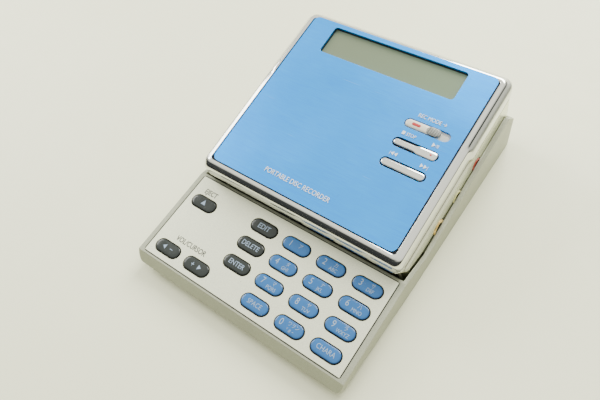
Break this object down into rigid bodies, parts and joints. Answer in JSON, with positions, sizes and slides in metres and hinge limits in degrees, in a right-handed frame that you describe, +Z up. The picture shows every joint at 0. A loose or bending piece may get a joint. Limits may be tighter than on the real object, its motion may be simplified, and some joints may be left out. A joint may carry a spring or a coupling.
{
  "type": "portable disc recorder with keypad",
  "caption": "Hand-sized disc recorder with a flip-up blue lid, display and slide controls, set on a wedge-shaped silver keypad base.",
  "frame": {"origin": "on the table, at the middle of the base", "axes": "+X to the right of someone using the keypad, +Y to the back where the display is, +Z up"},
  "size_m": [0.0814, 0.1088, 0.0323],
  "materials": {
    "silver_shell": "satin silver paint",
    "silver_deck": "satin silver paint",
    "chrome_frame": "polished",
    "case_metal": "satin",
    "blue_plate": "anodised, finely lined",
    "window_glass": "clear",
    "display_green": "reflective liquid crystal",
    "stamped_steel": "stamped",
    "circuit_board": "solder mask",
    "rubber_mat": "moulded",
    "battery_wrap": "shrink sleeve",
    "jack_gold": "plated",
    "jack_yellow": "moulded",
    "jack_red": "moulded",
    "knob_cream": "moulded",
    "pickup_black": "moulded",
    "key_blue": "clear blue over a printed layer",
    "key_grey": "moulded"
  },
  "bodies": {
    "base": {"base_shell": "silver_shell", "bottom_cover": "silver_shell", "cover_screw_1": "stamped_steel", "cover_screw_2": "stamped_steel", "cover_screw_3": "stamped_steel", "cover_screw_4": "stamped_steel", "battery_cell": "battery_wrap", "keypad_deck": "silver_deck", "keypad_mat": "rubber_mat", "keypad_board": "circuit_board", "recorder_case": "case_metal", "jack_phones": "jack_gold", "jack_line": "jack_yellow", "jack_mic": "jack_red", "hinge_pin": "stamped_steel", "chassis_plate": "stamped_steel", "main_board": "circuit_board", "spindle_motor": "stamped_steel", "guide_rod": "stamped_steel", "sled_motor": "stamped_steel"},
    "lid": {"lid_frame": "chrome_frame", "lid_plate": "blue_plate", "display_window": "window_glass", "display_module": "display_green", "control_board": "circuit_board"},
    "record_slide": {"record_slide": "knob_cream"},
    "stop_play_rocker": {"stop_play_rocker": "chrome_frame"},
    "skip_rocker": {"skip_rocker": "chrome_frame"},
    "disc_holder": {"disc_holder": "stamped_steel"},
    "record_head": {"record_head": "stamped_steel"},
    "turntable": {"turntable": "stamped_steel"},
    "optical_pickup": {"optical_pickup": "pickup_black"},
    "lead_screw": {"lead_screw": "stamped_steel"},
    "lid_catch": {"lid_catch": "stamped_steel"},
    "battery_door": {"battery_door": "silver_shell"},
    "key_eject": {"key_eject": "key_grey"},
    "key_volume_down": {"key_volume_down": "key_grey"},
    "key_volume_up": {"key_volume_up": "key_grey"},
    "key_edit": {"key_edit": "key_grey"},
    "key_delete": {"key_delete": "key_grey"},
    "key_enter": {"key_enter": "key_grey"},
    "key_1": {"key_1": "key_blue"},
    "key_2": {"key_2": "key_blue"},
    "key_3": {"key_3": "key_blue"},
    "key_4": {"key_4": "key_blue"},
    "key_5": {"key_5": "key_blue"},
    "key_6": {"key_6": "key_blue"},
    "key_7": {"key_7": "key_blue"},
    "key_8": {"key_8": "key_blue"},
    "key_9": {"key_9": "key_blue"},
    "key_space": {"key_space": "key_blue"},
    "key_0": {"key_0": "key_blue"},
    "key_chara": {"key_chara": "key_blue"}
  },
  "joints": [
    {"name": "lid_hinge", "type": "hinge", "parent": "base", "child": "lid", "pos_m": [0, 0.05178, 0.02495], "axis": [-1, 0, 0], "range_deg": [0, 28]},
    {"name": "holder_hinge", "type": "hinge", "parent": "base", "child": "disc_holder", "pos_m": [0, 0.04891, 0.02449], "axis": [-1, 0, 0], "range_deg": [0, 14]},
    {"name": "record_slide_travel", "type": "slide", "parent": "lid", "child": "record_slide", "axis": [1, 0, 0], "range_m": [0, 0.0028], "stiffness_N_per_m": 150},
    {"name": "stop_play_rock", "type": "hinge", "parent": "lid", "child": "stop_play_rocker", "pos_m": [0.0236, 0.01581, 0.02499], "axis": [0, 0.9816, 0.1908], "range_deg": [-2.5, 2.5], "stiffness_Nm_per_rad": 0.06},
    {"name": "skip_rock", "type": "hinge", "parent": "lid", "child": "skip_rocker", "pos_m": [0.0236, 0.00825, 0.02352], "axis": [0, 0.9816, 0.1908], "range_deg": [-2.5, 2.5], "stiffness_Nm_per_rad": 0.06},
    {"name": "turntable_spin", "type": "hinge", "parent": "base", "child": "turntable", "pos_m": [0, 0.01713, 0.0177], "axis": [0, -0.1908, 0.9816], "continuous": true},
    {"name": "pickup_travel", "type": "slide", "parent": "base", "child": "optical_pickup", "axis": [-1, 0, 0], "range_m": [0, 0.014]},
    {"name": "lead_screw_turn", "type": "hinge", "parent": "base", "child": "lead_screw", "pos_m": [0, 0.03182, 0.01547], "axis": [1, 0, 0], "range_deg": [0, 1681]},
    {"name": "record_head_travel", "type": "slide", "parent": "disc_holder", "child": "record_head", "axis": [-1, 0, 0], "range_m": [0, 0.014]},
    {"name": "lid_catch_travel", "type": "slide", "parent": "base", "child": "lid_catch", "axis": [1, 0, 0], "range_m": [0, 0.001]},
    {"name": "battery_door_hinge", "type": "hinge", "parent": "base", "child": "battery_door", "pos_m": [-0.04, 0.04963, 0.00874], "axis": [0, 0.1908, -0.9816], "range_deg": [0, 95]},
    {"name": "key_eject_press", "type": "slide", "parent": "base", "child": "key_eject", "axis": [0, 0.0958, -0.9954], "range_m": [0, 0.0004], "stiffness_N_per_m": 1200},
    {"name": "key_volume_down_press", "type": "slide", "parent": "base", "child": "key_volume_down", "axis": [0, 0.0958, -0.9954], "range_m": [0, 0.0004], "stiffness_N_per_m": 1200},
    {"name": "key_volume_up_press", "type": "slide", "parent": "base", "child": "key_volume_up", "axis": [0, 0.0958, -0.9954], "range_m": [0, 0.0004], "stiffness_N_per_m": 1200},
    {"name": "key_edit_press", "type": "slide", "parent": "base", "child": "key_edit", "axis": [0, 0.0958, -0.9954], "range_m": [0, 0.0004], "stiffness_N_per_m": 1200},
    {"name": "key_delete_press", "type": "slide", "parent": "base", "child": "key_delete", "axis": [0, 0.0958, -0.9954], "range_m": [0, 0.0004], "stiffness_N_per_m": 1200},
    {"name": "key_enter_press", "type": "slide", "parent": "base", "child": "key_enter", "axis": [0, 0.0958, -0.9954], "range_m": [0, 0.0004], "stiffness_N_per_m": 1200},
    {"name": "key_1_press", "type": "slide", "parent": "base", "child": "key_1", "axis": [0, 0.0958, -0.9954], "range_m": [0, 0.0004], "stiffness_N_per_m": 1200},
    {"name": "key_2_press", "type": "slide", "parent": "base", "child": "key_2", "axis": [0, 0.0958, -0.9954], "range_m": [0, 0.0004], "stiffness_N_per_m": 1200},
    {"name": "key_3_press", "type": "slide", "parent": "base", "child": "key_3", "axis": [0, 0.0958, -0.9954], "range_m": [0, 0.0004], "stiffness_N_per_m": 1200},
    {"name": "key_4_press", "type": "slide", "parent": "base", "child": "key_4", "axis": [0, 0.0958, -0.9954], "range_m": [0, 0.0004], "stiffness_N_per_m": 1200},
    {"name": "key_5_press", "type": "slide", "parent": "base", "child": "key_5", "axis": [0, 0.0958, -0.9954], "range_m": [0, 0.0004], "stiffness_N_per_m": 1200},
    {"name": "key_6_press", "type": "slide", "parent": "base", "child": "key_6", "axis": [0, 0.0958, -0.9954], "range_m": [0, 0.0004], "stiffness_N_per_m": 1200},
    {"name": "key_7_press", "type": "slide", "parent": "base", "child": "key_7", "axis": [0, 0.0958, -0.9954], "range_m": [0, 0.0004], "stiffness_N_per_m": 1200},
    {"name": "key_8_press", "type": "slide", "parent": "base", "child": "key_8", "axis": [0, 0.0958, -0.9954], "range_m": [0, 0.0004], "stiffness_N_per_m": 1200},
    {"name": "key_9_press", "type": "slide", "parent": "base", "child": "key_9", "axis": [0, 0.0958, -0.9954], "range_m": [0, 0.0004], "stiffness_N_per_m": 1200},
    {"name": "key_space_press", "type": "slide", "parent": "base", "child": "key_space", "axis": [0, 0.0958, -0.9954], "range_m": [0, 0.0004], "stiffness_N_per_m": 1200},
    {"name": "key_0_press", "type": "slide", "parent": "base", "child": "key_0", "axis": [0, 0.0958, -0.9954], "range_m": [0, 0.0004], "stiffness_N_per_m": 1200},
    {"name": "key_chara_press", "type": "slide", "parent": "base", "child": "key_chara", "axis": [0, 0.0958, -0.9954], "range_m": [0, 0.0004], "stiffness_N_per_m": 1200}
  ],
  "couplings": [
    {"joint": "holder_hinge", "follows": "lid_hinge", "ratio": 0.5},
    {"joint": "lead_screw_turn", "follows": "pickup_travel", "rad_per_m": 2094.4},
    {"joint": "record_head_travel", "follows": "pickup_travel", "ratio": 1},
    {"joint": "lid_catch_travel", "follows": "key_eject_press", "ratio": 2.5}
  ]
}
